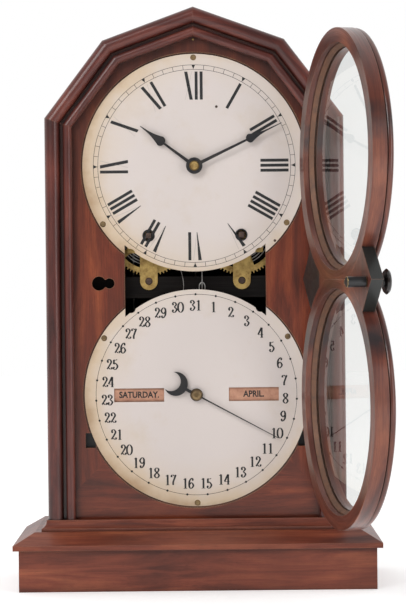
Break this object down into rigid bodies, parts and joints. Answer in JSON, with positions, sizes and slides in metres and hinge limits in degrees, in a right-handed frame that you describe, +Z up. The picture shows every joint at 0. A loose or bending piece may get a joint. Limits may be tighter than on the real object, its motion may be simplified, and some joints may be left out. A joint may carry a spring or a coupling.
{
  "type": "mantel clock",
  "caption": "Peaked wooden shelf clock with a time dial over a perpetual-calendar dial, a figure-eight glazed door hinged open, striking movement and pendulum.",
  "frame": {"origin": "centre of the base's footprint, on its underside", "axes": "+Z up, the dials face -Y, +X is to the viewer's right"},
  "size_m": [0.3196, 0.3318, 0.508],
  "materials": {
    "mahogany": "worn shellac",
    "panel_veneer": "satin shellac",
    "door_wood": "polished shellac",
    "pine": "bare",
    "time_dial": "aged white paint",
    "calendar_dial": "aged white paint",
    "brass": "aged",
    "bright_brass": "polished",
    "steel": "aged",
    "black_steel": "blued and blacked",
    "black_iron": "japanned",
    "drum_paper": "aged paper",
    "glass": "clear",
    "gilt": "dull",
    "ebony": "turned and polished"
  },
  "bodies": {
    "case": {"plinth_boards": "mahogany", "base_top_board": "mahogany", "base_step_moulding": "mahogany", "side_boards": "mahogany", "roof_boards": "mahogany", "stile_mouldings": "mahogany", "roof_moulding": "mahogany", "front_panel": "panel_veneer", "back_board": "pine", "time_dial": "time_dial", "calendar_dial": "calendar_dial", "dial_screws": "brass", "winding_grommets": "black_steel", "movement_front_plate": "bright_brass", "movement_back_plate": "brass", "movement_pillars": "steel", "foot_screws": "steel", "seat_rail": "pine", "mainsprings": "steel", "suspension_post": "brass", "gong": "steel", "calendar_frame": "black_iron", "hinge_pin": "steel", "hinge_leaf_case": "black_iron"},
    "minute_hand": {"minute_hand": "black_steel", "hand_collet": "bright_brass", "centre_wheel": "brass", "cannon_pinion": "brass"},
    "hour_hand": {"hour_hand": "black_steel", "hour_wheel": "brass"},
    "minute_wheel": {"minute_wheel": "brass"},
    "time_great_wheel": {"time_great_wheel": "bright_brass"},
    "time_winding_arbor": {"time_winding_arbor": "steel"},
    "time_second_wheel": {"time_second_wheel": "brass"},
    "third_wheel": {"third_wheel": "brass"},
    "escape_wheel": {"escape_wheel": "brass"},
    "verge": {"verge_and_crutch": "steel"},
    "pendulum": {"pendulum_rod": "steel", "pendulum_bob": "brass"},
    "strike_great_wheel": {"strike_great_wheel": "bright_brass"},
    "strike_winding_arbor": {"strike_winding_arbor": "steel"},
    "strike_second_wheel": {"strike_second_wheel": "brass"},
    "strike_third_wheel": {"strike_third_wheel": "brass"},
    "strike_fly": {"strike_fly": "brass"},
    "strike_hammer": {"strike_hammer": "steel"},
    "date_hand": {"date_hand": "black_steel", "date_wheel": "bright_brass"},
    "day_drum": {"day_drum": "drum_paper"},
    "month_drum": {"month_drum": "drum_paper"},
    "trip_lever": {"trip_lever": "steel"},
    "lift_wire": {"lift_wire": "steel"},
    "door": {"door_upper_ring": "door_wood", "door_lower_ring": "door_wood", "door_glass": "glass", "door_glass_beads": "gilt", "door_waist_blocks": "door_wood", "door_hinge_plate": "black_iron", "hinge_leaf_door": "black_iron"},
    "door_latch": {"latch_barrel": "bright_brass", "latch_knob": "ebony"}
  },
  "joints": [
    {"name": "minute_hand", "type": "hinge", "parent": "case", "child": "minute_hand", "pos_m": [0, 0, 0.3689], "axis": [0, 1, 0], "continuous": true},
    {"name": "hour_hand", "type": "hinge", "parent": "case", "child": "hour_hand", "pos_m": [0, 0, 0.3689], "axis": [0, 1, 0], "continuous": true},
    {"name": "minute_wheel", "type": "hinge", "parent": "case", "child": "minute_wheel", "pos_m": [0, 0, 0.3549], "axis": [0, 1, 0], "continuous": true},
    {"name": "time_second_wheel", "type": "hinge", "parent": "case", "child": "time_second_wheel", "pos_m": [0.0184, 0, 0.34144], "axis": [0, 1, 0], "continuous": true},
    {"name": "time_great_wheel", "type": "hinge", "parent": "case", "child": "time_great_wheel", "pos_m": [0.0408, 0, 0.308], "axis": [0, 1, 0], "continuous": true},
    {"name": "time_winding_arbor", "type": "hinge", "parent": "case", "child": "time_winding_arbor", "pos_m": [0.0408, 0, 0.308], "axis": [0, 1, 0], "continuous": true},
    {"name": "third_wheel", "type": "hinge", "parent": "case", "child": "third_wheel", "pos_m": [-0.01116, 0, 0.39283], "axis": [0, 1, 0], "continuous": true},
    {"name": "escape_wheel", "type": "hinge", "parent": "case", "child": "escape_wheel", "pos_m": [0, 0, 0.41179], "axis": [0, 1, 0], "continuous": true},
    {"name": "pendulum_swing", "type": "hinge", "parent": "case", "child": "pendulum", "pos_m": [0, 0.034, 0.44], "axis": [0, 1, 0], "range_deg": [-3, 3]},
    {"name": "verge_rock", "type": "hinge", "parent": "case", "child": "verge", "pos_m": [0, 0, 0.43229], "axis": [0, 1, 0], "range_deg": [-3.6, 3.6]},
    {"name": "strike_great_wheel", "type": "hinge", "parent": "case", "child": "strike_great_wheel", "pos_m": [-0.0408, 0, 0.308], "axis": [0, 1, 0], "continuous": true},
    {"name": "strike_winding_arbor", "type": "hinge", "parent": "case", "child": "strike_winding_arbor", "pos_m": [-0.0408, 0, 0.308], "axis": [0, 1, 0], "continuous": true},
    {"name": "strike_second_wheel", "type": "hinge", "parent": "case", "child": "strike_second_wheel", "pos_m": [-0.0184, 0, 0.34144], "axis": [0, 1, 0], "continuous": true},
    {"name": "strike_third_wheel", "type": "hinge", "parent": "case", "child": "strike_third_wheel", "pos_m": [-0.03327, 0, 0.36719], "axis": [0, 1, 0], "continuous": true},
    {"name": "strike_fly", "type": "hinge", "parent": "case", "child": "strike_fly", "pos_m": [-0.03603, 0, 0.38285], "axis": [0, 1, 0], "continuous": true},
    {"name": "hammer_lift", "type": "hinge", "parent": "case", "child": "strike_hammer", "pos_m": [-0.057, 0, 0.3639], "axis": [0, 1, 0], "range_deg": [0, 5], "stiffness_Nm_per_rad": 0.02},
    {"name": "date_hand", "type": "hinge", "parent": "case", "child": "date_hand", "pos_m": [0, 0, 0.1677], "axis": [0, 1, 0], "continuous": true},
    {"name": "day_drum_turn", "type": "hinge", "parent": "case", "child": "day_drum", "pos_m": [-0.0505, -0.0185, 0.1677], "axis": [1, 0, 0], "continuous": true},
    {"name": "month_drum_turn", "type": "hinge", "parent": "case", "child": "month_drum", "pos_m": [0.0505, -0.009, 0.1677], "axis": [1, 0, 0], "continuous": true},
    {"name": "trip_lever", "type": "hinge", "parent": "case", "child": "trip_lever", "pos_m": [-0.013, -0.028, 0.2137], "axis": [0, -1, 0], "range_deg": [0, 8]},
    {"name": "lift_wire", "type": "slide", "parent": "case", "child": "lift_wire", "axis": [0, 0, 1], "range_m": [0, 0.0024]},
    {"name": "door_hinge", "type": "hinge", "parent": "case", "child": "door", "pos_m": [0.107, -0.0512, 0.2683], "axis": [0, 0, 1], "range_deg": [-102.9, 60]},
    {"name": "latch_turn", "type": "hinge", "parent": "door", "child": "door_latch", "pos_m": [0.13403, -0.24178, 0.2663], "axis": [-0.9748, -0.2233, 0], "range_deg": [0, 90]}
  ],
  "couplings": [
    {"joint": "hour_hand", "follows": "minute_hand", "ratio": 0.083333},
    {"joint": "minute_wheel", "follows": "minute_hand", "ratio": -0.33333},
    {"joint": "time_second_wheel", "follows": "minute_hand", "ratio": -0.25},
    {"joint": "time_great_wheel", "follows": "minute_hand", "ratio": 0.041667},
    {"joint": "third_wheel", "follows": "minute_hand", "ratio": -10},
    {"joint": "escape_wheel", "follows": "minute_hand", "ratio": 100},
    {"joint": "verge_rock", "follows": "pendulum_swing", "ratio": 1.1283},
    {"joint": "strike_second_wheel", "follows": "strike_great_wheel", "ratio": -6},
    {"joint": "strike_third_wheel", "follows": "strike_great_wheel", "ratio": 48},
    {"joint": "strike_fly", "follows": "strike_great_wheel", "ratio": -336},
    {"joint": "trip_lever", "follows": "lift_wire", "rad_per_m": 52.91}
  ]
}
